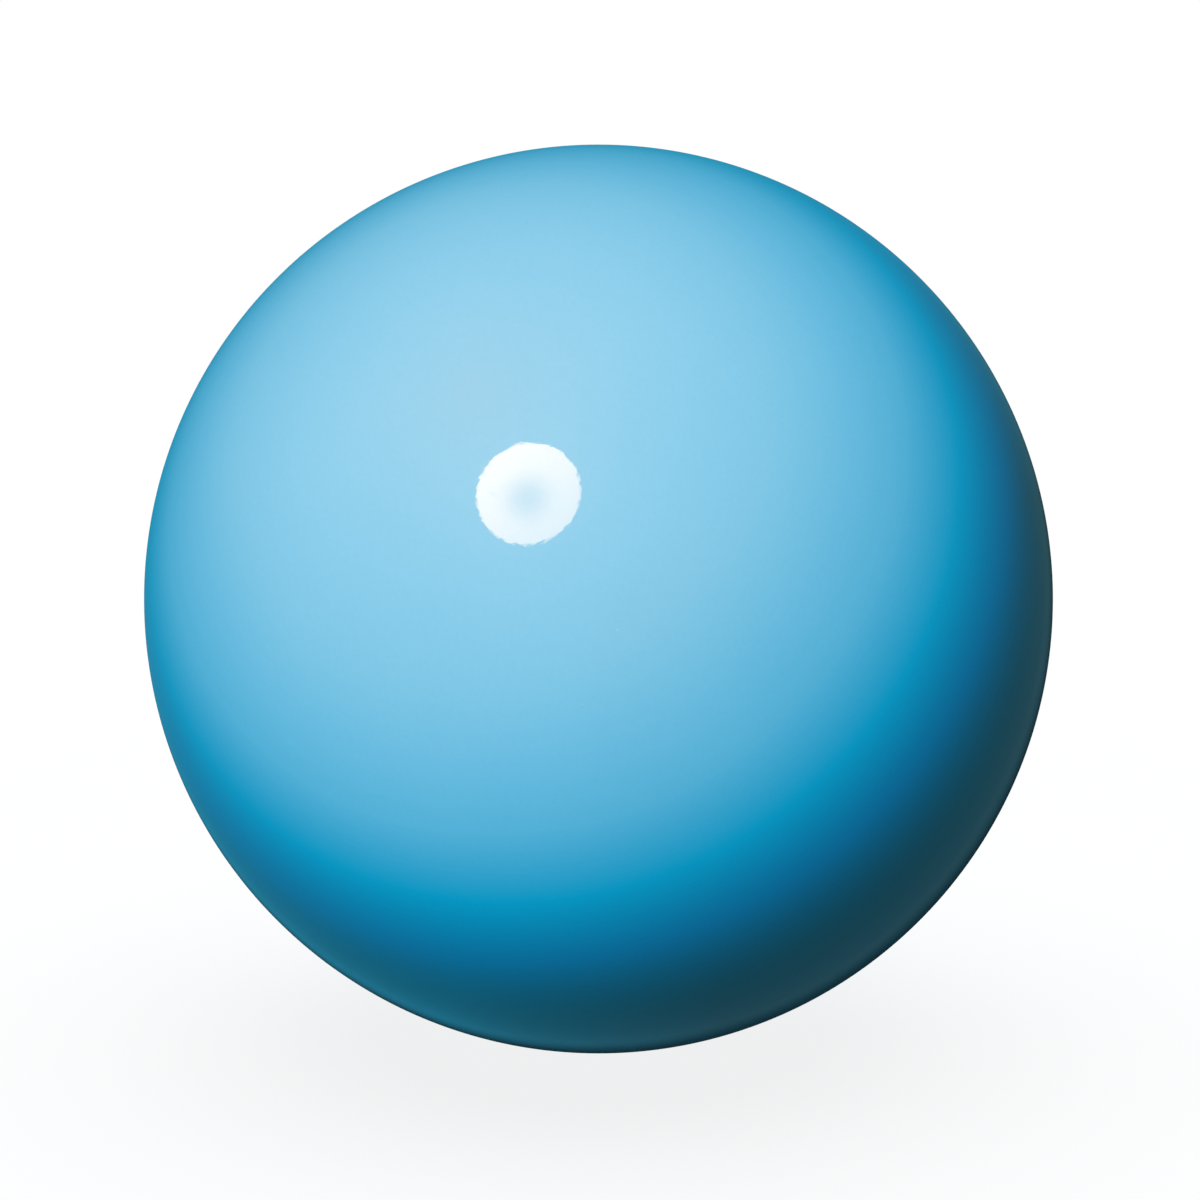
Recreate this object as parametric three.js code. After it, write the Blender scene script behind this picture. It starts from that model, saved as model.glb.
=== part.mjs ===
// A rhythmic gymnastics ball: two moulded rubber half shells, joined at a scarf joint, with a
// valve, its pull-out plug and a balance pad. Millimetres, +Z up, origin at the ball's centre.
// Every piece is turned about the valve axis, which is the Y axis: the valve is at the back, +Y.
import * as THREE from 'three';

// The ball
const BALL_DIAMETER = 185;
const WALL = 3.2;
const BOND_GAP = 0.3; // glue line between the shell and what is bonded to its inside

// The joint of the two halves
const SCARF_LENGTH = 3.2; // how far the front half's lip reaches back under the rear half's lip
const SCARF_GAP = 0.4; // between the two slanted faces, along the valve axis
const STRIP_WIDTH = 18;
const STRIP_THICKNESS = 1.2;
const STRIP_EDGE = 0.5; // thickness that the strip's edges are skived to
const STRIP_SKIVE = 4; // width of each skived edge

// The plug
const HEAD_RADIUS = 4.5;
const HEAD_THICKNESS = 1.6;
const HEAD_CHAMFER = 0.3;
const SHANK_LENGTH = 13.5;
const SHANK_ROOT_RADIUS = 2.6; // under the head
const SHANK_TIP_RADIUS = 2.3;
const NOSE_LENGTH = 1.6; // rounded end of the shank
const RIB_COUNT = 3;
const RIB_HEIGHT = 0.2;
const RIB_WIDTH = 0.9;
const PIN_HOLE_RADIUS = 0.8;
const PIN_HOLE_DEPTH = 6;

// The valve housing
const HEAD_CLEARANCE = 0.3; // around and under the plug's head
const BORE_CLEARANCE = 0.1; // around the plug's ribs
const COLLAR_WALL = 3.2; // rubber around the plug's head
const COLLAR_GAP = 0.3; // between the collar and the shell's hole
const FLANGE_WIDTH = 12; // beyond the collar
const FLANGE_EDGE = 0.9;
const FLANGE_ROOT = 3.6; // thickness where the flange meets the stem
const STEM_WALL = 4; // rubber around the bore
const STEM_PAST_PLUG = 1.8; // how far the stem reaches past the plug's nose
const STEM_CHAMFER = 1.2;

// The balance pad
const PAD_RADIUS = 24;

// Facets
const BALL_SEGMENTS = 60;
const VALVE_SEGMENTS = 36;
const QUARTER_STEPS = 15; // facets from the equator to a pole
const NOSE_STEPS = 4;
const QUARTER_TURN = Math.PI / 2;

const BALL_RADIUS = BALL_DIAMETER / 2;
const INNER_RADIUS = BALL_RADIUS - WALL;
const BONDED_RADIUS = INNER_RADIUS - BOND_GAP; // outer face of what is bonded inside

const point = (radius, height) => new THREE.Vector2(radius, height);

// A point at a distance from the ball's centre, at a latitude counted from the equator to +Y
function atLatitude(distance, latitude) {
  return point(distance * Math.cos(latitude), distance * Math.sin(latitude));
}

// Points of a circle about the ball's centre, from one latitude to another, both ends included
function arc(radius, from, to) {
  const steps = Math.max(1, Math.round((Math.abs(to - from) / QUARTER_TURN) * QUARTER_STEPS));
  const points = [];
  for (let i = 0; i <= steps; i += 1) {
    points.push(atLatitude(radius, from + ((to - from) * i) / steps));
  }
  return points;
}

const latitudeAtHeight = (radius, height) => Math.asin(height / radius);
const latitudeAtReach = (radius, reach) => Math.acos(reach / radius);
const heightAtReach = (radius, reach) => Math.sqrt(radius * radius - reach * reach);

// A profile whose ends are on the axis keeps them there exactly
function onAxis(profile) {
  profile[0].x = 0;
  profile[profile.length - 1].x = 0;
  return profile;
}

const closed = (profile) => [...profile, profile[0].clone()];

// First moment of a turned solid about the equator's plane: volume times height of its centre
function momentAboutEquator(profile) {
  let sum = 0;
  for (let i = 0; i < profile.length; i += 1) {
    const a = profile[i];
    const b = profile[(i + 1) % profile.length];
    const spread = a.x * (2 * a.y + b.y) + b.x * (a.y + 2 * b.y);
    sum += (a.x * b.y - b.x * a.y) * spread;
  }
  return (Math.PI * sum) / 12;
}

// Front half: from the outer pole to the joint, over the slanted lip, and back inside
function frontShellProfile() {
  const outerRim = latitudeAtHeight(BALL_RADIUS, -SCARF_GAP / 2);
  const innerRim = latitudeAtHeight(INNER_RADIUS, SCARF_LENGTH - SCARF_GAP / 2);
  const outside = arc(BALL_RADIUS, -QUARTER_TURN, outerRim);
  const inside = arc(INNER_RADIUS, innerRim, -QUARTER_TURN);
  return onAxis([...outside, ...inside]);
}

const counterboreRadius = HEAD_RADIUS + HEAD_CLEARANCE;
const collarRadius = counterboreRadius + COLLAR_WALL;
const valveHoleRadius = collarRadius + COLLAR_GAP;

// Rear half: the same shell, with the valve's hole at its pole
function rearShellProfile() {
  const outerRim = latitudeAtHeight(BALL_RADIUS, SCARF_GAP / 2);
  const innerRim = latitudeAtHeight(INNER_RADIUS, SCARF_LENGTH + SCARF_GAP / 2);
  const outside = arc(BALL_RADIUS, outerRim, latitudeAtReach(BALL_RADIUS, valveHoleRadius));
  const inside = arc(INNER_RADIUS, latitudeAtReach(INNER_RADIUS, valveHoleRadius), innerRim);
  return closed([...outside, ...inside]);
}

// Seam strip: a band under the joint, thinned towards both edges
function seamStripProfile() {
  const middle = latitudeAtHeight(INNER_RADIUS, SCARF_LENGTH);
  const half = STRIP_WIDTH / 2 / BONDED_RADIUS;
  const full = (STRIP_WIDTH / 2 - STRIP_SKIVE) / BONDED_RADIUS;
  const edgeRadius = BONDED_RADIUS - STRIP_EDGE;
  const faceRadius = BONDED_RADIUS - STRIP_THICKNESS;
  return closed([
    ...arc(BONDED_RADIUS, middle - half, middle + half),
    atLatitude(edgeRadius, middle + half),
    ...arc(faceRadius, middle + full, middle - full),
    atLatitude(edgeRadius, middle - half),
  ]);
}

// The plug's flat head lies in the plane that touches the ball at its pole
const headTop = BALL_RADIUS;
const headUnderside = headTop - HEAD_THICKNESS;
const plugTip = headUnderside - SHANK_LENGTH;
const shankTaper = (SHANK_ROOT_RADIUS - SHANK_TIP_RADIUS) / SHANK_LENGTH;
const shankRadiusAt = (height) => SHANK_TIP_RADIUS + shankTaper * (height - plugTip);

// Plug: a rounded nose, a tapered shank with sealing ribs, a flat head and its pin hole
function plugProfile() {
  const shankStart = plugTip + NOSE_LENGTH;
  const noseRadius = shankRadiusAt(shankStart);
  const nose = [];
  for (let i = 0; i <= NOSE_STEPS; i += 1) {
    const turn = (QUARTER_TURN * i) / NOSE_STEPS;
    nose.push(point(noseRadius * Math.sin(turn), shankStart - NOSE_LENGTH * Math.cos(turn)));
  }
  const ribPitch = (headUnderside - shankStart) / (RIB_COUNT + 1);
  const ribs = [];
  for (let i = 1; i <= RIB_COUNT; i += 1) {
    const middle = shankStart + ribPitch * i;
    const foot = middle - RIB_WIDTH / 2;
    const head = middle + RIB_WIDTH / 2;
    ribs.push(point(shankRadiusAt(foot), foot));
    ribs.push(point(shankRadiusAt(middle) + RIB_HEIGHT, middle));
    ribs.push(point(shankRadiusAt(head), head));
  }
  return onAxis([
    ...nose,
    ...ribs,
    point(SHANK_ROOT_RADIUS, headUnderside),
    point(HEAD_RADIUS, headUnderside),
    point(HEAD_RADIUS, headTop - HEAD_CHAMFER),
    point(HEAD_RADIUS - HEAD_CHAMFER, headTop),
    point(PIN_HOLE_RADIUS, headTop),
    point(PIN_HOLE_RADIUS, headTop - PIN_HOLE_DEPTH),
    point(0, headTop - PIN_HOLE_DEPTH),
  ]);
}

// Housing: stem with the bore, flange against the shell, collar flush with the ball's skin
function housingProfile() {
  const counterboreFloor = headUnderside - HEAD_CLEARANCE;
  const stemEnd = plugTip - STEM_PAST_PLUG;
  const boreRadiusAt = (height) => shankRadiusAt(height) + RIB_HEIGHT + BORE_CLEARANCE;
  const stemRadius = boreRadiusAt(counterboreFloor) + STEM_WALL;
  const flangeRadius = collarRadius + FLANGE_WIDTH;
  const flangeLatitude = latitudeAtReach(BONDED_RADIUS, flangeRadius);
  const flangeTop = arc(BONDED_RADIUS, flangeLatitude, latitudeAtReach(BONDED_RADIUS, collarRadius));
  const flangeRim = BONDED_RADIUS - FLANGE_EDGE;
  const skin = latitudeAtReach(BALL_RADIUS, collarRadius);
  return closed([
    point(boreRadiusAt(stemEnd), stemEnd),
    point(stemRadius - STEM_CHAMFER, stemEnd),
    point(stemRadius, stemEnd + STEM_CHAMFER),
    point(stemRadius, heightAtReach(BONDED_RADIUS, stemRadius) - FLANGE_ROOT),
    atLatitude(flangeRim, flangeLatitude),
    ...flangeTop,
    ...arc(BALL_RADIUS, skin, latitudeAtReach(BALL_RADIUS, counterboreRadius)),
    point(counterboreRadius, counterboreFloor),
    point(boreRadiusAt(counterboreFloor), counterboreFloor),
  ]);
}

// Balance pad: a disc of shell whose first moment equals that of everything off centre at the back.
// A slice of shell between radii a and b, out to reach s, has the moment pi / 4 (b^4 - a^4) (s / b)^2.
function padProfile(momentToBalance) {
  const reach = PAD_RADIUS / BONDED_RADIUS;
  const fourthPower = BONDED_RADIUS ** 4 - (4 * momentToBalance) / (Math.PI * reach ** 2);
  const faceRadius = fourthPower ** 0.25;
  const edge = -latitudeAtReach(BONDED_RADIUS, PAD_RADIUS);
  const outside = arc(BONDED_RADIUS, -QUARTER_TURN, edge);
  const inside = arc(faceRadius, edge, -QUARTER_TURN);
  return onAxis([...outside, ...inside]);
}

// Finishes
const lacqueredRubber = { color: 0x5fb4dc, roughness: 0.18, metalness: 0 };
const bareRubber = { color: 0x4f93b2, roughness: 0.85, metalness: 0 };
const valveRubber = { color: 0x4a9cc4, roughness: 0.5, metalness: 0 };
const plugPlastic = { color: 0xe9eef0, roughness: 0.4, metalness: 0 };

const ball = new THREE.Group();

function turnedPiece(name, profile, segments, finish) {
  const geometry = new THREE.LatheGeometry(profile, segments);
  const mesh = new THREE.Mesh(geometry, new THREE.MeshStandardMaterial(finish));
  mesh.name = name;
  ball.add(mesh);
}

const frontShell = frontShellProfile();
const rearShell = rearShellProfile();
const seamStrip = seamStripProfile();
const housing = housingProfile();
const plug = plugProfile();
const offCentre = [frontShell, rearShell, seamStrip, housing, plug];
const momentToBalance = offCentre.reduce((sum, profile) => sum + momentAboutEquator(profile), 0);

turnedPiece('front_shell_half', frontShell, BALL_SEGMENTS, lacqueredRubber);
turnedPiece('rear_shell_half', rearShell, BALL_SEGMENTS, lacqueredRubber);
turnedPiece('seam_strip', seamStrip, BALL_SEGMENTS, bareRubber);
turnedPiece('valve_housing', housing, VALVE_SEGMENTS, valveRubber);
turnedPiece('valve_plug', plug, VALVE_SEGMENTS, plugPlastic);
turnedPiece('balance_pad', padProfile(momentToBalance), BALL_SEGMENTS, bareRubber);

export default ball;
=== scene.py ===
# A rhythmic gymnastics ball: two lacquered rubber half shells with a valve, its plug and a balance pad.
# Metres, +Z up, origin at the ball's centre, valve at the back on +Y. Every piece is turned about Y.
import math

import bmesh
import bpy
from mathutils import Matrix, Vector


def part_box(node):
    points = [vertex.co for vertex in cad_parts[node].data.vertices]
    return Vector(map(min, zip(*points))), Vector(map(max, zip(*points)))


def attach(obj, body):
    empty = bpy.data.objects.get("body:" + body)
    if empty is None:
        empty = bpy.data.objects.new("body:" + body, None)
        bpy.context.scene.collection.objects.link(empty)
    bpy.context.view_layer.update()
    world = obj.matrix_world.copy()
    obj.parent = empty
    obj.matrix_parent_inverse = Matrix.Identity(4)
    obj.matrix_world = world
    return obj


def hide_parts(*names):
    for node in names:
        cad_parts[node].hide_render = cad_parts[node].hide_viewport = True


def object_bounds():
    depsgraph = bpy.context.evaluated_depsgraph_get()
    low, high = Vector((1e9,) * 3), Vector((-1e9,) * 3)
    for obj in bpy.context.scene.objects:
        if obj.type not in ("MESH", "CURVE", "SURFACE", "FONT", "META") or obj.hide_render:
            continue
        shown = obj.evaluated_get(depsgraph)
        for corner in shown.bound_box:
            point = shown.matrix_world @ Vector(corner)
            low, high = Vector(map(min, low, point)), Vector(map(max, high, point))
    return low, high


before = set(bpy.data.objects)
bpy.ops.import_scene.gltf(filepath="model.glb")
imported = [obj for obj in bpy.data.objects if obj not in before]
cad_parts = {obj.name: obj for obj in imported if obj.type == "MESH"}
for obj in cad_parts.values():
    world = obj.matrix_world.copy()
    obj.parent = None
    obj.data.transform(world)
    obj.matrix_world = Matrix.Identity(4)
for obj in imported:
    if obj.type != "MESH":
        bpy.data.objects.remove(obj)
cad_low, cad_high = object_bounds()

MM = 0.001

# Sizes that the solids give
BALL_RADIUS = (cad_high.x - cad_low.x) / 2
plug_low, plug_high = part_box("valve_plug")
HEAD_RADIUS = plug_high.x
HEAD_TOP = plug_high.y
PLUG_TIP = plug_low.y
housing_low, housing_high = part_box("valve_housing")
FLANGE_RADIUS = housing_high.x
STEM_END = housing_low.y
strip_low, strip_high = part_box("seam_strip")
pad_low, pad_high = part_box("balance_pad")
PAD_RADIUS = pad_high.x
BONDED_RADIUS = -pad_low.y

# The half shells
WALL = 3.2 * MM
SCARF_LENGTH = 3.2 * MM
SEAM_GAP = 0.1 * MM
SEAM_ROUND = 0.2 * MM
INNER_RADIUS = BALL_RADIUS - WALL

# The strip inside the joint
STRIP_THICKNESS = 1.2 * MM
STRIP_EDGE = 0.5 * MM
STRIP_SKIVE = 4 * MM
STRIP_ROUND = 0.15 * MM

# The plug
HEAD_THICKNESS = 1.6 * MM
HEAD_ROUND = 0.35 * MM
HEAD_UNDER_ROUND = 0.175 * MM
SHANK_ROOT_RADIUS = 2.6 * MM
SHANK_TIP_RADIUS = 2.3 * MM
SHANK_FILLET = 0.4 * MM
NOSE_LENGTH = 1.6 * MM
RIB_COUNT = 3
RIB_HEIGHT = 0.2 * MM
RIB_WIDTH = 0.9 * MM
RIB_ROUND = 0.3 * MM
PIN_HOLE_RADIUS = 0.8 * MM
PIN_HOLE_DEPTH = 6 * MM
PIN_HOLE_ROUND = 0.2 * MM

# The valve housing
HEAD_CLEARANCE = 0.3 * MM
BORE_CLEARANCE = 0.1 * MM
COLLAR_WALL = 3.2 * MM
COLLAR_GAP = 0.08 * MM
COLLAR_ROUND = 0.25 * MM
FLANGE_EDGE = 0.9 * MM
FLANGE_ROUND = 0.3 * MM
FLANGE_ROOT = 3.6 * MM
FLANGE_FILLET = 2.5 * MM
STEM_WALL = 4 * MM
STEM_ROUND = 1.2 * MM
BORE_LIP_ROUND = 0.3 * MM

# The balance pad
PAD_ROUND = 0.6 * MM

# Steps round a full turn, and along a quarter of a circle or a rounded corner
BALL_TURN_STEPS = 320
VALVE_TURN_STEPS = 128
OUTER_QUARTER_STEPS = 80
INNER_QUARTER_STEPS = 30
COLLAR_QUARTER_STEPS = 240
CORNER_STEPS = 5

# Points this close become one, and edges that bend by more than this angle stay sharp
MERGE_DISTANCE = 0.002 * MM
SHARP_ANGLE = math.radians(40)

QUARTER = math.pi / 2
ABOUT_Z = (0, 0, 1)
ABOUT_VALVE_AXIS = (0, 1, 0)
CENTRE = (0, 0, 0)

# The photograph, in its own pixels
FRAME_PX = 1200
OUTLINE_CENTRE_PX = (598.5, 599.0)
OUTLINE_RADIUS_PX = 454.5
HIGHLIGHT_PX = (528, 493)
CAMERA_DISTANCE = 6 * BALL_RADIUS
CAMERA_ELEVATION = math.radians(9.5)
SENSOR_MM = 36

RIGHT = Vector((1, 0, 0))
UP = Vector((0, math.sin(CAMERA_ELEVATION), math.cos(CAMERA_ELEVATION)))
TOWARDS = Vector((0, -math.cos(CAMERA_ELEVATION), math.sin(CAMERA_ELEVATION)))
FOCAL_PX = OUTLINE_RADIUS_PX * math.sqrt(CAMERA_DISTANCE**2 - BALL_RADIUS**2) / BALL_RADIUS


# Outlines
class Outline:
    """Half of a piece's section, drawn from point to point in the XY plane and then turned about Y."""

    def __init__(self, reach, height):
        self.mesh = bmesh.new()
        self.first = self.mesh.verts.new((reach, height, 0))
        self.tip = self.first
        self.corners = []

    def line(self, reach, height, corner=0):
        made = bmesh.ops.extrude_vert_indiv(self.mesh, verts=[self.tip])
        self.tip = made["verts"][0]
        self.tip.co = (reach, height, 0)
        return self.rounded(corner)

    def arc(self, angle, quarter_steps, corner=0):
        """Follows a circle about the ball's centre."""
        steps = max(1, round(abs(angle) / QUARTER * quarter_steps))
        made = bmesh.ops.spin(
            self.mesh, geom=[self.tip], cent=CENTRE, axis=ABOUT_Z, angle=angle, steps=steps
        )
        self.tip = made["geom_last"][0]
        return self.rounded(corner)

    def rounded(self, corner):
        """Remembers that the corner at the tip gets a round of this size."""
        if corner:
            self.corners.append((self.tip, corner))
        return self

    def closed(self, corner=0):
        self.mesh.edges.new((self.tip, self.first))
        self.tip = self.first
        return self.rounded(corner)

    def turned(self, name, steps, material):
        mesh = self.mesh
        for corner, size in self.corners:
            bmesh.ops.bevel(
                mesh, geom=[corner], offset=size, affect="VERTICES", segments=CORNER_STEPS,
                profile=0.5, material=-1,
            )
        bmesh.ops.spin(
            mesh, geom=mesh.verts[:] + mesh.edges[:], cent=CENTRE, axis=ABOUT_VALVE_AXIS,
            angle=2 * math.pi, steps=steps, use_merge=True,
        )
        bmesh.ops.remove_doubles(mesh, verts=mesh.verts[:], dist=MERGE_DISTANCE)
        bmesh.ops.recalc_face_normals(mesh, faces=mesh.faces[:])
        data = bpy.data.meshes.new(name)
        mesh.to_mesh(data)
        mesh.free()
        data.shade_smooth()
        data.set_sharp_from_angle(angle=SHARP_ANGLE)
        data.materials.append(material)
        piece = bpy.data.objects.new(name, data)
        bpy.context.scene.collection.objects.link(piece)
        piece.modifiers.new("even_shading", "WEIGHTED_NORMAL").keep_sharp = True
        return piece


def latitude_at_height(radius, height):
    return math.asin(height / radius)


def latitude_at_reach(radius, reach):
    return math.acos(reach / radius)


def at_latitude(radius, latitude):
    return radius * math.cos(latitude), radius * math.sin(latitude)


# Materials: the sizes of their patterns, and the depths of their relief
CLOUD_MM = 45
SPECKLE_MM = 0.9
PEEL_MM = 0.8
PEEL_DEPTH = 0.005 * MM
NIB_SPACING_MM = 3.5
NIB_SHARE = 0.07
NIB_RISE_IN_PEELS = 30
BLOOM_MM = 5
# Real mould grain is finer. This is drawn coarse enough to show.
MOULD_GRAIN_MM = 0.25
MOULD_GRAIN_DEPTH = 0.02 * MM
HAZE_MM = 3
SCUFF_MM = 0.5
SCUFF_DEPTH = 0.01 * MM
TALC_MM = 8
TALC_SHARE = 0.35
CLOTH_PRINT_MM = 0.4
CLOTH_PRINT_DEPTH = 0.04 * MM


def linear(hex_colour):
    """A colour written as an sRGB hex value, as the linear colour that a shader takes."""
    channels = [int(hex_colour[i : i + 2], 16) / 255 for i in (1, 3, 5)]
    return [c / 12.92 if c <= 0.04045 else ((c + 0.055) / 1.055) ** 2.4 for c in channels] + [1]


def per_metre(size_mm):
    """The scale of a pattern whose features are this size."""
    return 1 / (size_mm * MM)


def add_node(tree, kind, inputs=None, **settings):
    """Adds a node with its settings. An input is a value, or the socket that feeds it."""
    node = tree.nodes.new("ShaderNode" + kind)
    for name, value in settings.items():
        setattr(node, name, value)
    for socket, value in (inputs or {}).items():
        if isinstance(value, bpy.types.NodeSocket):
            tree.links.new(value, node.inputs[socket])
        else:
            node.inputs[socket].default_value = value
    return node


# A Mix node's colour sockets, which share their names with its other kinds
MIX_FACTOR, MIX_FROM, MIX_TO, MIX_RESULT = 0, 6, 7, 2


def start_material(name):
    """A new material, its empty tree, and the place on the piece."""
    material = bpy.data.materials.new(name)
    material.use_nodes = True
    tree = material.node_tree
    tree.nodes.clear()
    place = add_node(tree, "TexCoord").outputs["Object"]
    return material, tree, place


def finish_material(tree, shader):
    add_node(tree, "OutputMaterial", {"Surface": shader.outputs[0]})


def lacquered_rubber():
    """Moulded rubber sprayed with clear polyurethane: a wet gloss with a trace of orange peel."""
    material, tree, place = start_material("sprayed_polyurethane_on_rubber")
    cloud = add_node(
        tree,
        "TexNoise",
        {"Vector": place, "Scale": per_metre(CLOUD_MM), "Detail": 3, "Roughness": 0.55},
    )
    speckle = add_node(
        tree,
        "TexNoise",
        {"Vector": place, "Scale": per_metre(SPECKLE_MM), "Detail": 2, "Roughness": 0.6},
    )
    cloudy = add_node(
        tree,
        "Mix",
        {MIX_FACTOR: cloud.outputs["Fac"], MIX_FROM: linear("#80C6E6"), MIX_TO: linear("#88CAE8")},
        data_type="RGBA",
    )
    faint = add_node(
        tree,
        "MapRange",
        {"Value": speckle.outputs["Fac"], "From Min": 0.35, "From Max": 0.65, "To Max": 0.06},
    )
    colour = add_node(
        tree,
        "Mix",
        {
            MIX_FACTOR: faint.outputs["Result"],
            MIX_FROM: cloudy.outputs[MIX_RESULT],
            MIX_TO: linear("#5AAAD5"),
        },
        data_type="RGBA",
    )
    dullness = add_node(
        tree,
        "MapRange",
        {
            "Value": cloud.outputs["Fac"],
            "From Min": 0.3,
            "From Max": 0.7,
            "To Min": 0.42,
            "To Max": 0.5,
        },
    )
    peel = add_node(
        tree,
        "TexNoise",
        {"Vector": place, "Scale": per_metre(PEEL_MM), "Detail": 1, "Roughness": 0.5},
    )
    dust = add_node(tree, "TexVoronoi", {"Vector": place, "Scale": per_metre(NIB_SPACING_MM)})
    nib = add_node(
        tree,
        "MapRange",
        {
            "Value": dust.outputs["Distance"],
            "From Max": NIB_SHARE,
            "To Min": NIB_RISE_IN_PEELS,
            "To Max": 0,
        },
        interpolation_type="SMOOTHSTEP",
    )
    relief = add_node(tree, "Math", {0: peel.outputs["Fac"], 1: nib.outputs["Result"]}, operation="ADD")
    coat_normal = add_node(
        tree, "Bump", {"Height": relief.outputs[0], "Strength": 1, "Distance": PEEL_DEPTH}
    )
    shader = add_node(
        tree,
        "BsdfPrincipled",
        {
            "Base Color": colour.outputs[MIX_RESULT],
            "Roughness": dullness.outputs["Result"],
            "Specular IOR Level": 0.15,
            "Coat Weight": 1,
            "Coat Roughness": 0.03,
            "Coat IOR": 1.55,
            "Coat Normal": coat_normal.outputs["Normal"],
        },
    )
    finish_material(tree, shader)
    return material


def valve_rubber():
    """Soft moulded rubber as it leaves a satin mould: dull, with a fine grain and a faint bloom."""
    material, tree, place = start_material("satin_moulded_rubber")
    bloom = add_node(
        tree,
        "TexNoise",
        {"Vector": place, "Scale": per_metre(BLOOM_MM), "Detail": 4, "Roughness": 0.6},
    )
    grain = add_node(
        tree, "TexNoise", {"Vector": place, "Scale": per_metre(MOULD_GRAIN_MM), "Detail": 2}
    )
    colour = add_node(
        tree,
        "Mix",
        {MIX_FACTOR: bloom.outputs["Fac"], MIX_FROM: linear("#5FA9CC"), MIX_TO: linear("#76BAD8")},
        data_type="RGBA",
    )
    dullness = add_node(
        tree,
        "MapRange",
        {
            "Value": bloom.outputs["Fac"],
            "From Min": 0.3,
            "From Max": 0.7,
            "To Min": 0.42,
            "To Max": 0.58,
        },
    )
    surface = add_node(
        tree,
        "Bump",
        {"Height": grain.outputs["Fac"], "Strength": 0.6, "Distance": MOULD_GRAIN_DEPTH},
    )
    shader = add_node(
        tree,
        "BsdfPrincipled",
        {
            "Base Color": colour.outputs[MIX_RESULT],
            "Roughness": dullness.outputs["Result"],
            "IOR": 1.52,
            "Normal": surface.outputs["Normal"],
        },
    )
    finish_material(tree, shader)
    return material


def plug_plastic():
    """Natural polyethylene from a polished mould: waxy white, a little see-through, finely scuffed."""
    material, tree, place = start_material("natural_moulded_polyethylene")
    haze = add_node(
        tree,
        "TexNoise",
        {"Vector": place, "Scale": per_metre(HAZE_MM), "Detail": 3, "Roughness": 0.55},
    )
    scuffs = add_node(
        tree,
        "TexNoise",
        {
            "Vector": place,
            "Scale": per_metre(SCUFF_MM),
            "Detail": 3,
            "Roughness": 0.7,
            "Distortion": 1.5,
        },
    )
    colour = add_node(
        tree,
        "Mix",
        {MIX_FACTOR: haze.outputs["Fac"], MIX_FROM: linear("#DDE6E8"), MIX_TO: linear("#F0F3F2")},
        data_type="RGBA",
    )
    dullness = add_node(
        tree,
        "MapRange",
        {
            "Value": scuffs.outputs["Fac"],
            "From Min": 0.4,
            "From Max": 0.7,
            "To Min": 0.3,
            "To Max": 0.48,
        },
    )
    surface = add_node(
        tree, "Bump", {"Height": scuffs.outputs["Fac"], "Strength": 0.5, "Distance": SCUFF_DEPTH}
    )
    shader = add_node(
        tree,
        "BsdfPrincipled",
        {
            "Base Color": colour.outputs[MIX_RESULT],
            "Roughness": dullness.outputs["Result"],
            "IOR": 1.51,
            "Subsurface Weight": 0.25,
            "Subsurface Radius": (1, 1, 1),
            "Subsurface Scale": 0.8 * MM,
            "Normal": surface.outputs["Normal"],
        },
    )
    finish_material(tree, shader)
    return material


def bare_rubber():
    """Calendered rubber sheet dusted with talc: matt, with the cloth's fine print left in its face."""
    material, tree, place = start_material("calendered_rubber_with_talc")
    talc = add_node(
        tree,
        "TexNoise",
        {"Vector": place, "Scale": per_metre(TALC_MM), "Detail": 5, "Roughness": 0.65},
    )
    cloth_print = add_node(
        tree, "TexNoise", {"Vector": place, "Scale": per_metre(CLOTH_PRINT_MM), "Detail": 2}
    )
    dusted = add_node(
        tree,
        "MapRange",
        {"Value": talc.outputs["Fac"], "From Min": 0.4, "From Max": 0.75, "To Max": TALC_SHARE},
    )
    colour = add_node(
        tree,
        "Mix",
        {MIX_FACTOR: dusted.outputs["Result"], MIX_FROM: linear("#4F93B2"), MIX_TO: linear("#C9DCE4")},
        data_type="RGBA",
    )
    dullness = add_node(
        tree,
        "MapRange",
        {
            "Value": dusted.outputs["Result"],
            "From Max": TALC_SHARE,
            "To Min": 0.75,
            "To Max": 0.95,
        },
    )
    surface = add_node(
        tree,
        "Bump",
        {"Height": cloth_print.outputs["Fac"], "Strength": 0.8, "Distance": CLOTH_PRINT_DEPTH},
    )
    shader = add_node(
        tree,
        "BsdfPrincipled",
        {
            "Base Color": colour.outputs[MIX_RESULT],
            "Roughness": dullness.outputs["Result"],
            "IOR": 1.52,
            "Normal": surface.outputs["Normal"],
        },
    )
    finish_material(tree, shader)
    return material


# Pieces
COUNTERBORE_RADIUS = HEAD_RADIUS + HEAD_CLEARANCE
COLLAR_RADIUS = COUNTERBORE_RADIUS + COLLAR_WALL
VALVE_HOLE_RADIUS = COLLAR_RADIUS + COLLAR_GAP


def front_half(skin):
    """The half shell towards the camera, from its pole to the slanted lip and back inside."""
    outer_rim = latitude_at_height(BALL_RADIUS, -SEAM_GAP / 2)
    inner_rim = latitude_at_height(INNER_RADIUS, SCARF_LENGTH - SEAM_GAP / 2)
    outline = Outline(0, -BALL_RADIUS)
    outline.arc(QUARTER + outer_rim, OUTER_QUARTER_STEPS, SEAM_ROUND)
    outline.line(*at_latitude(INNER_RADIUS, inner_rim), SEAM_ROUND)
    outline.arc(-QUARTER - inner_rim, INNER_QUARTER_STEPS)
    return outline.turned("front_half", BALL_TURN_STEPS, skin)


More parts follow.
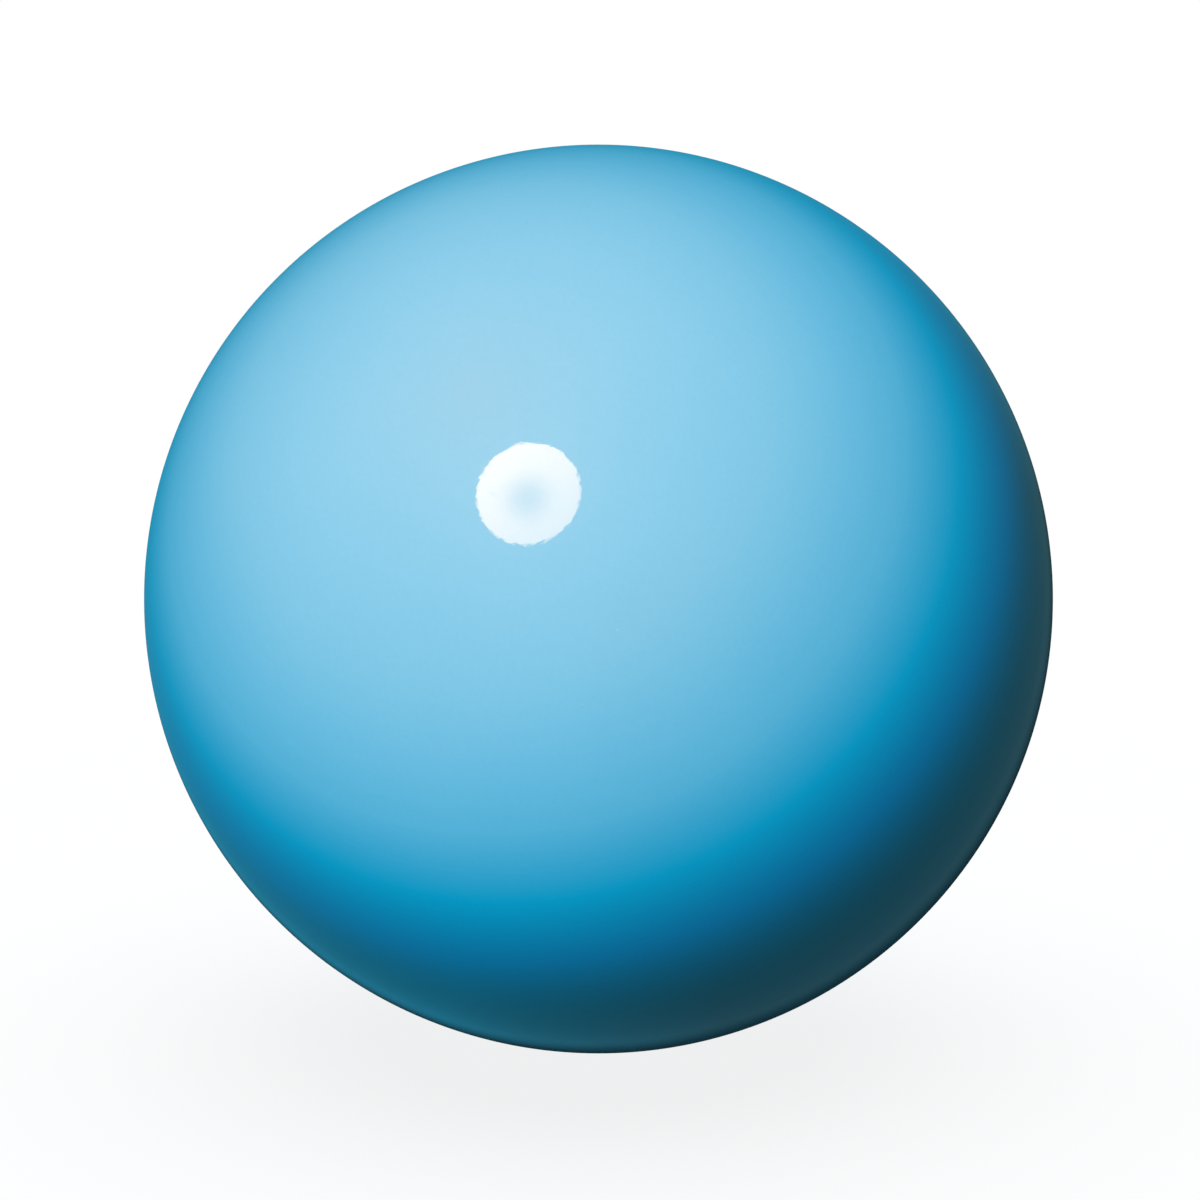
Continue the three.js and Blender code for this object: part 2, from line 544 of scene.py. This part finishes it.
def rear_half(skin):
    """The half shell with the valve's hole at its pole."""
    outer_rim = latitude_at_height(BALL_RADIUS, SEAM_GAP / 2)
    inner_rim = latitude_at_height(INNER_RADIUS, SCARF_LENGTH + SEAM_GAP / 2)
    outer_hole = latitude_at_reach(BALL_RADIUS, VALVE_HOLE_RADIUS)
    inner_hole = latitude_at_reach(INNER_RADIUS, VALVE_HOLE_RADIUS)
    outline = Outline(*at_latitude(BALL_RADIUS, outer_rim))
    outline.arc(outer_hole - outer_rim, OUTER_QUARTER_STEPS, COLLAR_ROUND)
    outline.line(*at_latitude(INNER_RADIUS, inner_hole), COLLAR_ROUND)
    outline.arc(inner_rim - inner_hole, INNER_QUARTER_STEPS, SEAM_ROUND)
    outline.closed(SEAM_ROUND)
    return outline.turned("rear_half", BALL_TURN_STEPS, skin)


def seam_strip(rubber):
    """The band bonded inside over the joint, skived thin towards both edges."""
    middle = latitude_at_height(BONDED_RADIUS, (strip_low.y + strip_high.y) / 2)
    half = (strip_high.y - strip_low.y) / 2 / BONDED_RADIUS
    full = half - STRIP_SKIVE / BONDED_RADIUS
    edge_radius = BONDED_RADIUS - STRIP_EDGE
    face_radius = BONDED_RADIUS - STRIP_THICKNESS
    outline = Outline(*at_latitude(BONDED_RADIUS, middle - half))
    outline.arc(2 * half, OUTER_QUARTER_STEPS, STRIP_ROUND)
    outline.line(*at_latitude(edge_radius, middle + half), STRIP_ROUND)
    outline.line(*at_latitude(face_radius, middle + full))
    outline.arc(-2 * full, OUTER_QUARTER_STEPS)
    outline.line(*at_latitude(edge_radius, middle - half), STRIP_ROUND)
    outline.closed(STRIP_ROUND)
    return outline.turned("seam_strip_band", BALL_TURN_STEPS, rubber)


HEAD_UNDERSIDE = HEAD_TOP - HEAD_THICKNESS
SHANK_TAPER = (SHANK_ROOT_RADIUS - SHANK_TIP_RADIUS) / (HEAD_UNDERSIDE - PLUG_TIP)


def shank_radius_at(height):
    return SHANK_TIP_RADIUS + SHANK_TAPER * (height - PLUG_TIP)


def plug(plastic):
    """The stopper: rounded nose, tapered shank with sealing ribs, flat head and the pin hole in it."""
    nose_radius = shank_radius_at(PLUG_TIP + NOSE_LENGTH)
    rib_pitch = (HEAD_UNDERSIDE - PLUG_TIP - NOSE_LENGTH) / (RIB_COUNT + 1)
    outline = Outline(0, PLUG_TIP)
    outline.line(nose_radius, PLUG_TIP, NOSE_LENGTH)
    for number in range(1, RIB_COUNT + 1):
        middle = PLUG_TIP + NOSE_LENGTH + rib_pitch * number
        foot = middle - RIB_WIDTH / 2
        head = middle + RIB_WIDTH / 2
        outline.line(shank_radius_at(foot), foot)
        outline.line(shank_radius_at(middle) + RIB_HEIGHT, middle, RIB_ROUND)
        outline.line(shank_radius_at(head), head)
    outline.line(SHANK_ROOT_RADIUS, HEAD_UNDERSIDE, SHANK_FILLET)
    outline.line(HEAD_RADIUS, HEAD_UNDERSIDE, HEAD_UNDER_ROUND)
    outline.line(HEAD_RADIUS, HEAD_TOP, HEAD_ROUND)
    outline.line(PIN_HOLE_RADIUS, HEAD_TOP, PIN_HOLE_ROUND)
    outline.line(PIN_HOLE_RADIUS, HEAD_TOP - PIN_HOLE_DEPTH, PIN_HOLE_ROUND)
    outline.line(0, HEAD_TOP - PIN_HOLE_DEPTH)
    return outline.turned("stopper", VALVE_TURN_STEPS, plastic)


def housing(rubber):
    """The valve: a stem with the bore, a flange against the shell and a collar flush with the skin."""
    floor_height = HEAD_UNDERSIDE - HEAD_CLEARANCE
    room = RIB_HEIGHT + BORE_CLEARANCE
    mouth_radius = shank_radius_at(floor_height) + room
    stem_radius = mouth_radius + STEM_WALL
    stem_top = math.sqrt(BONDED_RADIUS**2 - stem_radius**2) - FLANGE_ROOT
    flange = latitude_at_reach(BONDED_RADIUS, FLANGE_RADIUS)
    under_collar = latitude_at_reach(BONDED_RADIUS, COLLAR_RADIUS)
    collar = latitude_at_reach(BALL_RADIUS, COLLAR_RADIUS)
    counterbore = latitude_at_reach(BALL_RADIUS, COUNTERBORE_RADIUS)
    outline = Outline(shank_radius_at(STEM_END) + room, STEM_END)
    outline.line(stem_radius, STEM_END, STEM_ROUND)
    outline.line(stem_radius, stem_top, FLANGE_FILLET)
    outline.line(*at_latitude(BONDED_RADIUS - FLANGE_EDGE, flange), FLANGE_ROUND)
    outline.line(*at_latitude(BONDED_RADIUS, flange), FLANGE_ROUND)
    outline.arc(under_collar - flange, OUTER_QUARTER_STEPS)
    outline.line(*at_latitude(BALL_RADIUS, collar), COLLAR_ROUND)
    outline.arc(counterbore - collar, COLLAR_QUARTER_STEPS, COLLAR_ROUND)
    outline.line(COUNTERBORE_RADIUS, floor_height, COLLAR_ROUND)
    outline.line(mouth_radius, floor_height, BORE_LIP_ROUND)
    outline.closed(BORE_LIP_ROUND)
    return outline.turned("valve_body", VALVE_TURN_STEPS, rubber)


def balance_pad(rubber):
    """The disc bonded inside opposite the valve, to balance it."""
    edge = latitude_at_reach(BONDED_RADIUS, PAD_RADIUS)
    face_radius = -pad_high.y / math.sin(edge)
    outline = Outline(0, -BONDED_RADIUS)
    outline.arc(QUARTER - edge, OUTER_QUARTER_STEPS, PAD_ROUND)
    outline.line(*at_latitude(face_radius, -edge), PAD_ROUND)
    outline.arc(edge - QUARTER, OUTER_QUARTER_STEPS)
    return outline.turned("balance_disc", BALL_TURN_STEPS, rubber)


def fit(piece, body, node):
    """The piece moves with its body and stands for its node, which it hides."""
    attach(piece, body)
    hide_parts(node)
    return piece


skin = lacquered_rubber()
inner_rubber = bare_rubber()
front = fit(front_half(skin), "ball", "front_shell_half")
rear = fit(rear_half(skin), "ball", "rear_shell_half")
strip = fit(seam_strip(inner_rubber), "ball", "seam_strip")
valve = fit(housing(valve_rubber()), "ball", "valve_housing")
stopper = fit(plug(plug_plastic()), "plug", "valve_plug")
pad = fit(balance_pad(inner_rubber), "ball", "balance_pad")
ball = [front, rear, strip, valve, pad]


# Camera
def in_view(across, up, near):
    """A point given as the camera sees it: to its right, up, and towards it."""
    return RIGHT * across + UP * up + TOWARDS * near


def photo_camera():
    data = bpy.data.cameras.new("photo_camera")
    data.sensor_width = SENSOR_MM
    data.lens = SENSOR_MM * FOCAL_PX / FRAME_PX
    data.shift_x = (FRAME_PX / 2 - OUTLINE_CENTRE_PX[0]) / FRAME_PX
    data.shift_y = (OUTLINE_CENTRE_PX[1] - FRAME_PX / 2) / FRAME_PX
    camera = bpy.data.objects.new("photo_camera", data)
    camera.location = TOWARDS * CAMERA_DISTANCE
    camera.rotation_euler = (-TOWARDS).to_track_quat("-Z", "Y").to_euler()
    bpy.context.scene.collection.objects.link(camera)
    bpy.context.scene.camera = camera


photo_camera()

# Lamps
WHITE = (1, 1, 1)

# The dishes that the lacquer mirrors, with shares of a dish's radiance and of its radius
DISH_DISTANCE = 5 * BALL_RADIUS
DISH_RADIANCE = 14.5
DISH_SHARES = (0.64, 0.98)
DISH_BRIGHT_SIDE = in_view(-0.6, 0.8, 0)
DEFLECTOR_SHARE = 0.52
DEFLECTOR_REACH = 0.7
DEFLECTOR_DROP = 0.1
FRONT_DISH_HALF_ANGLE = math.radians(13.5)
FRONT_DISH_TINT = (1.0, 0.56, 0.27)
BACK_DISH_HALF_ANGLE = math.radians(8)
BACK_DISH_TINT = (0.85, 0.8, 0.78)

# The far lamps, with a gel's tints at shares of its beam's radius, which ends at the ball's outline
LAMP_DISTANCE = 100 * BALL_RADIUS
ACROSS_BEAM = (1, 1, 0)
FRONT_LIGHT = 1.67
FRONT_BULB = (1.0, 0.79, 0.728)
FRONT_LAMP = in_view(-0.232, 0.396, 0.888).normalized()
FRONT_GEL = (
    (0.0, "#FAEBE7"),
    (0.55, "#DBEFF5"),
    (0.77, "#A3EBFF"),
    (0.865, "#00DBFD"),
    (0.94, "#009ED2"),
    (1.0, "#003000"),
)
BACK_LIGHT = 0.9
BACK_LAMP = in_view(0.1, 0.14, -1).normalized()
BACK_GEL = ((0.0, "#FAEBE7"), (0.5, "#D4EEF8"), (0.75, "#8FE4FF"), (1.0, "#00CCF5"))

# The soft boxes behind the ball, beside the valve and over the paper
FILL_LIGHT = 0.3
FILL_TINT = "#C0E8FA"
FILL_PLACE = in_view(0.12, 0.12, -1).normalized() * 6 * BALL_RADIUS
FILL_RADIUS = 0.8 * BALL_RADIUS
PLUG_LIGHT = 0.6
PLUG_LAMP = in_view(-0.55, 0.8, 0).normalized() * 6 * BALL_RADIUS
PLUG_LAMP_RADIUS = 2 * BALL_RADIUS
PAPER_LIGHT = 1.0
PAPER_LAMP_HEIGHT = 1.2
PAPER_LAMP_RADIUS = 1.0


def add_lamp(name, kind, place, aim, energy, tint):
    """A lamp turned to a point, out of the camera's sight."""
    data = bpy.data.lights.new(name, kind)
    data.color = tint
    data.energy = energy
    lamp = bpy.data.objects.new(name, data)
    lamp.location = place
    lamp.rotation_euler = (aim - place).to_track_quat("-Z", "Y").to_euler()
    lamp.visible_camera = False
    bpy.context.scene.collection.objects.link(lamp)
    return lamp


def disc_lamp(name, place, aim, radius, radiance, tint):
    """A round soft box whose face has this radiance."""
    lamp = add_lamp(name, "AREA", place, aim, radiance * math.pi**2 * radius**2, tint)
    lamp.data.shape = "DISK"
    lamp.data.size = 2 * radius
    return lamp


def radiance_for(light, radius, distance):
    """The radiance of a disc that lights a surface facing it to this share of its own colour."""
    return light * (distance**2 + radius**2) / radius**2


def group(name, things):
    collection = bpy.data.collections.new(name)
    for thing in things:
        collection.objects.link(thing)
    return collection


def shine_on(lamp, things):
    """The lamp lights these things alone."""
    lamp.light_linking.receiver_collection = group(lamp.name + "_lights", things)


def highlight_ray():
    """Where the photograph's highlight lies on the ball, and where its sight line is mirrored to."""
    across = (HIGHLIGHT_PX[0] - OUTLINE_CENTRE_PX[0]) / FOCAL_PX
    up = (OUTLINE_CENTRE_PX[1] - HIGHLIGHT_PX[1]) / FOCAL_PX
    sight = in_view(across, up, -1).normalized()
    camera = TOWARDS * CAMERA_DISTANCE
    nearest = -camera.dot(sight)
    depth = nearest - math.sqrt(nearest**2 - CAMERA_DISTANCE**2 + BALL_RADIUS**2)
    spot = camera + sight * depth
    return spot, sight.reflect(spot.normalized())


def mirrored_dish(name, turn, half_angle, tint, halves):
    """The beauty dish that the lacquer mirrors as its round highlight, dimmer at its deflector."""
    spot, mirrored = highlight_ray()
    outward = spot.dot(mirrored)
    along = -outward + math.sqrt(outward**2 - BALL_RADIUS**2 + DISH_DISTANCE**2)
    place = turn @ (spot + mirrored * along)
    radius = along * math.tan(half_angle)
    lamp = disc_lamp(name, place, turn @ spot, radius, DISH_RADIANCE, tint)
    lamp.visible_diffuse = False
    shine_on(lamp, halves)
    lamp.data.use_nodes = True
    tree = lamp.data.node_tree
    spot_on_dish = add_node(tree, "NewGeometry").outputs["Position"]
    deflector = place - turn @ UP * DEFLECTOR_DROP * radius
    from_deflector = add_node(tree, "VectorMath", {0: spot_on_dish, 1: deflector}, operation="DISTANCE")
    shade = add_node(
        tree,
        "MapRange",
        {
            "Value": from_deflector.outputs["Value"],
            "From Max": DEFLECTOR_REACH * radius,
            "To Min": DEFLECTOR_SHARE,
        },
        interpolation_type="SMOOTHSTEP",
    )
    brighter = turn @ DISH_BRIGHT_SIDE
    along_slope = add_node(tree, "VectorMath", {0: spot_on_dish, 1: brighter}, operation="DOT_PRODUCT")
    slope = add_node(
        tree,
        "MapRange",
        {
            "Value": along_slope.outputs["Value"],
            "From Min": place.dot(brighter) - radius,
            "From Max": place.dot(brighter) + radius,
            "To Min": DISH_SHARES[0],
            "To Max": DISH_SHARES[1],
        },
    )
    strength = add_node(
        tree, "Math", {0: shade.outputs["Result"], 1: slope.outputs["Result"]}, operation="MULTIPLY"
    )
    tree.links.new(strength.outputs[0], tree.nodes["Emission"].inputs["Strength"])


def gelled_lamp(name, direction, light, bulb, tints):
    """A point lamp far off, behind a graded gel that is cooler towards its beam's edge."""
    energy = light * (2 * math.pi * LAMP_DISTANCE) ** 2
    lamp = add_lamp(name, "POINT", direction * LAMP_DISTANCE, Vector(), energy, bulb)
    lamp.data.shadow_soft_size = 0
    lamp.visible_glossy = False
    shine_on(lamp, [*ball, stopper])
    lamp.light_linking.blocker_collection = group(name + "_shadows", ball)
    lamp.data.use_nodes = True
    tree = lamp.data.node_tree
    ray = add_node(tree, "TexCoord").outputs["Normal"]
    across = add_node(tree, "VectorMath", {0: ray, 1: ACROSS_BEAM}, operation="MULTIPLY")
    off_axis = add_node(tree, "VectorMath", {0: across.outputs[0]}, operation="LENGTH")
    share = add_node(
        tree,
        "MapRange",
        {"Value": off_axis.outputs["Value"], "From Max": BALL_RADIUS / LAMP_DISTANCE},
    )
    gel = add_node(tree, "ValToRGB", {"Fac": share.outputs["Result"]})
    stops = gel.color_ramp.elements
    while len(stops) < len(tints):
        stops.new(1)
    for stop, (position, tint) in zip(stops, tints):
        stop.position = position
        stop.color = linear(tint)
    tree.links.new(gel.outputs["Color"], tree.nodes["Emission"].inputs["Color"])


def back_fill():
    """A soft box behind the ball, which leaves the drawn plug's soft shadow."""
    radiance = radiance_for(FILL_LIGHT, FILL_RADIUS, FILL_PLACE.length - BALL_RADIUS)
    lamp = disc_lamp("back_fill", FILL_PLACE, Vector(), FILL_RADIUS, radiance, linear(FILL_TINT)[:3])
    lamp.visible_glossy = False
    shine_on(lamp, [*ball, stopper])


def plug_lamp():
    """A soft box beside the valve, for the plug's shank when it is drawn."""
    aim = Vector((0, HEAD_TOP, 0))
    radiance = radiance_for(PLUG_LIGHT, PLUG_LAMP_RADIUS, (PLUG_LAMP - aim).length)
    lamp = disc_lamp("plug_lamp", PLUG_LAMP, aim, PLUG_LAMP_RADIUS, radiance, WHITE)
    shine_on(lamp, [stopper])


def paper_lamp(paper):
    """A soft box overhead for the paper, where it leaves the ball's soft shadow."""
    place = Vector((0, 0, PAPER_LAMP_HEIGHT))
    radiance = radiance_for(PAPER_LIGHT, PAPER_LAMP_RADIUS, PAPER_LAMP_HEIGHT + BALL_RADIUS)
    lamp = disc_lamp("paper_lamp", place, Vector(), PAPER_LAMP_RADIUS, radiance, WHITE)
    lamp.visible_glossy = False
    shine_on(lamp, [paper])


gelled_lamp("front_lamp", FRONT_LAMP, FRONT_LIGHT, FRONT_BULB, FRONT_GEL)
gelled_lamp("back_lamp", BACK_LAMP, BACK_LIGHT, WHITE, BACK_GEL)
back_fill()
plug_lamp()
as_seen = Matrix.Identity(3)
turned_back = Matrix.Rotation(math.pi, 3, "Z")
mirrored_dish("front_dish", as_seen, FRONT_DISH_HALF_ANGLE, FRONT_DISH_TINT, [front, rear])
mirrored_dish("back_dish", turned_back, BACK_DISH_HALF_ANGLE, BACK_DISH_TINT, [rear])


# Floor, tent and world
AMBIENT = (0.0, 0.063, 0.081)

# Near the ball, grey paper under its lamp and a glow add up to white. Far out, the glow is white.
FLOOR_RADIUS = 4.0
FLOOR_STEPS = 96
FLOOR_FADE = (0.12, 0.42)
FLOOR_GLOW = 0.86
PAPER_NEAR = "#696969"
PAPER_FAR = "#000000"

# Angles are from the shaded side, round the camera's axis, and from the mouth's middle
TENT_RADIUS = 3.0
TENT_SUBDIVISIONS = 4
# The tent's glow is painted light: its lit colour on the lamp's side, painted shade on the far side
TENT_LIGHT = (0.03, 0.285, 0.44)
TENT_SHADE_GLOW = (0.046, 0.106, 0.118)
TENT_SHADED_SIDE = in_view(0.866, -0.5, 0)
TENT_SIDE_ANGLES = (math.radians(43), math.radians(80))
MOUTH_DARK = (0.007, 0.016, 0.018)
MOUTH_DIRECTION = in_view(0.1, -0.2, -1).normalized()
MOUTH_ANGLES = (math.radians(10), math.radians(27))


def seen_directly(tree):
    """1 for rays from the camera, a mirror or a clear material, and 0 for light on a dull surface."""
    path = add_node(tree, "LightPath")
    camera_ray = path.outputs["Is Camera Ray"]
    glossy_ray = path.outputs["Is Glossy Ray"]
    clear_ray = path.outputs["Is Transmission Ray"]
    first = add_node(tree, "Math", {0: camera_ray, 1: glossy_ray}, operation="MAXIMUM")
    either = add_node(tree, "Math", {0: first.outputs[0], 1: clear_ray}, operation="MAXIMUM")
    return either.outputs[0]


def stage_object(name, mesh, material):
    data = bpy.data.meshes.new(name)
    mesh.to_mesh(data)
    mesh.free()
    data.materials.append(material)
    thing = bpy.data.objects.new(name, data)
    bpy.context.scene.collection.objects.link(thing)
    return thing


def pale_paper():
    """White background paper: it takes the ball's soft shadow and runs out to plain white."""
    material, tree, place = start_material("white_background_paper")
    out = add_node(tree, "VectorMath", {0: place}, operation="LENGTH")
    fade = add_node(
        tree,
        "MapRange",
        {"Value": out.outputs["Value"], "From Min": FLOOR_FADE[0], "From Max": FLOOR_FADE[1]},
        interpolation_type="SMOOTHSTEP",
    )
    glow = add_node(
        tree,
        "MapRange",
        {"Value": fade.outputs["Result"], "To Min": FLOOR_GLOW, "To Max": 1},
    )
    strength = add_node(
        tree, "Math", {0: glow.outputs["Result"], 1: seen_directly(tree)}, operation="MULTIPLY"
    )
    paper = add_node(
        tree,
        "Mix",
        {MIX_FACTOR: fade.outputs["Result"], MIX_FROM: linear(PAPER_NEAR), MIX_TO: linear(PAPER_FAR)},
        data_type="RGBA",
    )
    matt = add_node(tree, "BsdfDiffuse", {"Color": paper.outputs[MIX_RESULT]})
    light = add_node(tree, "Emission", {"Strength": strength.outputs[0]})
    finish_material(tree, add_node(tree, "AddShader", {0: matt.outputs[0], 1: light.outputs[0]}))
    return material


def floor():
    mesh = bmesh.new()
    bmesh.ops.create_circle(mesh, cap_ends=True, radius=FLOOR_RADIUS, segments=FLOOR_STEPS)
    paper = stage_object("paper_floor", mesh, pale_paper())
    paper.location.z = -BALL_RADIUS
    paper.visible_diffuse = False
    paper.visible_glossy = False
    return paper


def tent_cloth():
    """Dim cloth that glows a little, as painted light: lit on the lamp's side, painted shade on the
    other side of the view, and darker at the mouth behind the ball.
    """
    material, tree, place = start_material("dim_tent_cloth")
    around = add_node(tree, "VectorMath", {0: place, 1: TOWARDS}, operation="CROSS_PRODUCT")
    side = add_node(tree, "VectorMath", {0: around.outputs[0]}, operation="NORMALIZE")
    # The side of the tent away from the lamp glows with painted shade
    shaded_side = TENT_SHADED_SIDE.cross(TOWARDS)
    off_side = add_node(tree, "VectorMath", {0: side.outputs[0], 1: shaded_side}, operation="DOT_PRODUCT")
    lit = add_node(
        tree,
        "MapRange",
        {
            "Value": off_side.outputs["Value"],
            "From Min": math.cos(TENT_SIDE_ANGLES[0]),
            "From Max": math.cos(TENT_SIDE_ANGLES[1]),
        },
    )
    wall = add_node(
        tree,
        "Mix",
        {MIX_FACTOR: lit.outputs["Result"], MIX_FROM: (*TENT_SHADE_GLOW, 1), MIX_TO: (*TENT_LIGHT, 1)},
        data_type="RGBA",
    )
    mouthward = add_node(tree, "VectorMath", {0: place, 1: MOUTH_DIRECTION}, operation="DOT_PRODUCT")
    inside = add_node(
        tree,
        "MapRange",
        {
            "Value": mouthward.outputs["Value"],
            "From Min": math.cos(MOUTH_ANGLES[1]) * TENT_RADIUS,
            "From Max": math.cos(MOUTH_ANGLES[0]) * TENT_RADIUS,
        },
        interpolation_type="SMOOTHSTEP",
    )
    cloth = add_node(
        tree,
        "Mix",
        {
            MIX_FACTOR: inside.outputs["Result"],
            MIX_FROM: wall.outputs[MIX_RESULT],
            MIX_TO: (*MOUTH_DARK, 1),
        },
        data_type="RGBA",
    )
    finish_material(tree, add_node(tree, "Emission", {"Color": cloth.outputs[MIX_RESULT]}))
    return material


def dim_tent():
    """The tent round the ball, which shows only in mirrored light."""
    mesh = bmesh.new()
    bmesh.ops.create_icosphere(mesh, subdivisions=TENT_SUBDIVISIONS, radius=TENT_RADIUS)
    tent = stage_object("dim_tent", mesh, tent_cloth())
    tent.visible_camera = False
    tent.visible_diffuse = False
    tent.visible_transmission = False
    tent.visible_shadow = False


def white_world():
    world = bpy.data.worlds.new("white_studio")
    bpy.context.scene.world = world
    world.use_nodes = True
    tree = world.node_tree
    tree.nodes.clear()
    colour = add_node(
        tree,
        "Mix",
        {MIX_FACTOR: seen_directly(tree), MIX_FROM: (*AMBIENT, 1), MIX_TO: (*WHITE, 1)},
        data_type="RGBA",
    )
    background = add_node(tree, "Background", {"Color": colour.outputs[MIX_RESULT]})
    add_node(tree, "OutputWorld", {"Surface": background.outputs[0]})


paper_lamp(floor())
dim_tent()
white_world()
bpy.context.scene.view_settings.view_transform = "Standard"
